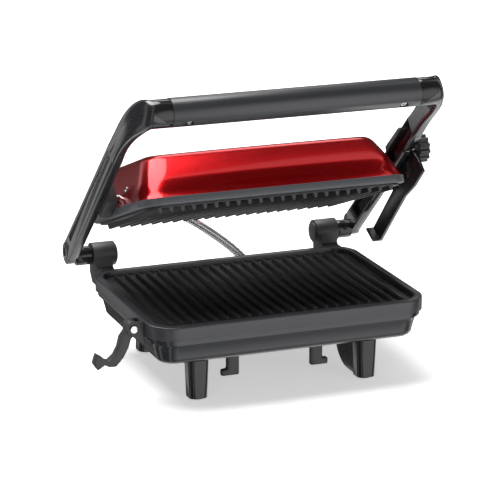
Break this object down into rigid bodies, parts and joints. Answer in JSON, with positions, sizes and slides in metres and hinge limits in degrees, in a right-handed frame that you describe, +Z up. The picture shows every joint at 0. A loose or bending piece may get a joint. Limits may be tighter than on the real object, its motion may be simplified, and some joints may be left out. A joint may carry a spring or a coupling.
{
  "type": "panini press",
  "caption": "Countertop panini press with ribbed grill plates, a floating domed lid, a U-shaped hinged handle, a side latch and an adjustable height stay.",
  "frame": {"origin": "middle of the bounding box, on the surface that the feet stand on", "axes": "+Z up, +X to the right along the hinge axis as seen from the front, the front and the grip facing -Y"},
  "size_m": [0.3788, 0.256, 0.3099],
  "materials": {
    "charcoal_satin": "satin charcoal moulding",
    "gloss_black": "glossy black moulding",
    "candy_red": "glossy metallic candy red paint",
    "grey_trim": "satin slate grey",
    "nonstick": "dark semi-gloss nonstick coating on cast aluminium",
    "bright_steel": "bright steel",
    "heater_steel": "dull oxidised steel",
    "reflector_alu": "mill aluminium",
    "dark_matte": "matte dark grey moulding",
    "foot_rubber": "matt black rubber",
    "stay_black": "semi-gloss black painted steel",
    "ceramic": "off-white heat-resistant moulding"
  },
  "bodies": {
    "base": {"base_ferrule": "bright_steel", "base_rim": "charcoal_satin", "base_tub": "gloss_black", "bottom_cover": "gloss_black", "conduit": "bright_steel", "cord_inlet": "dark_matte", "cover_screws": "bright_steel", "foot_pads": "foot_rubber", "hinge_caps": "dark_matte", "latch_bolt": "bright_steel", "latch_bracket": "dark_matte", "left_cord_hook": "dark_matte", "left_front_leg": "gloss_black", "left_hinge_post": "dark_matte", "left_rear_leg": "gloss_black", "lower_grill_plate": "nonstick", "lower_heater": "heater_steel", "lower_reflector": "reflector_alu", "right_cord_hook": "dark_matte", "right_front_leg": "gloss_black", "right_hinge_post": "dark_matte", "right_rear_leg": "gloss_black", "terminal_block": "ceramic", "thermal_fuse": "ceramic", "thermostat": "ceramic"},
    "handle": {"grip": "charcoal_satin", "grip_core": "bright_steel", "grip_screws": "bright_steel", "knob_stud": "bright_steel", "left_arm": "gloss_black", "left_hub": "gloss_black", "left_hinge_pin": "bright_steel", "left_elbow": "charcoal_satin", "left_collar": "gloss_black", "left_pivot_block": "dark_matte", "left_pivot_pin": "bright_steel", "right_arm": "gloss_black", "right_hub": "gloss_black", "right_hinge_pin": "bright_steel", "right_elbow": "charcoal_satin", "right_collar": "gloss_black", "right_pivot_block": "dark_matte", "right_pivot_pin": "bright_steel"},
    "lid": {"lid_shell": "candy_red", "lid_trim": "grey_trim", "upper_grill_plate": "nonstick", "upper_heater": "heater_steel", "upper_reflector": "reflector_alu", "left_lid_boss": "dark_matte", "right_lid_boss": "dark_matte", "lid_side_screws": "bright_steel", "lid_ferrule": "bright_steel"},
    "latch": {"latch": "dark_matte"},
    "stay": {"height_stay": "stay_black", "stay_rivet": "bright_steel"},
    "knob": {"height_knob": "dark_matte"}
  },
  "joints": [
    {"name": "handle_hinge", "type": "hinge", "parent": "base", "child": "handle", "pos_m": [0.0076, 0.112, 0.095], "axis": [-1, 0, 0], "range_deg": [-36.4, 58], "deforming": ["conduit"]},
    {"name": "lid_tilt", "type": "hinge", "parent": "handle", "child": "lid", "pos_m": [0.0076, 0.01925, 0.1788], "axis": [-1, 0, 0], "range_deg": [-26.2, 16.5]},
    {"name": "latch_swing", "type": "hinge", "parent": "base", "child": "latch", "pos_m": [-0.1498, -0.078, 0.0756], "axis": [0, 1, 0], "range_deg": [0, 112]},
    {"name": "stay_swing", "type": "hinge", "parent": "handle", "child": "stay", "pos_m": [0.1721, -0.02464, 0.21375], "axis": [1, 0, 0], "range_deg": [-30, 4]},
    {"name": "knob_turn", "type": "hinge", "parent": "handle", "child": "knob", "pos_m": [0.1721, -0.02464, 0.21375], "axis": [1, 0, 0], "continuous": true}
  ],
  "couplings": [
    {"joint": "lid_tilt", "follows": "handle_hinge", "ratio": -0.4507}
  ]
}
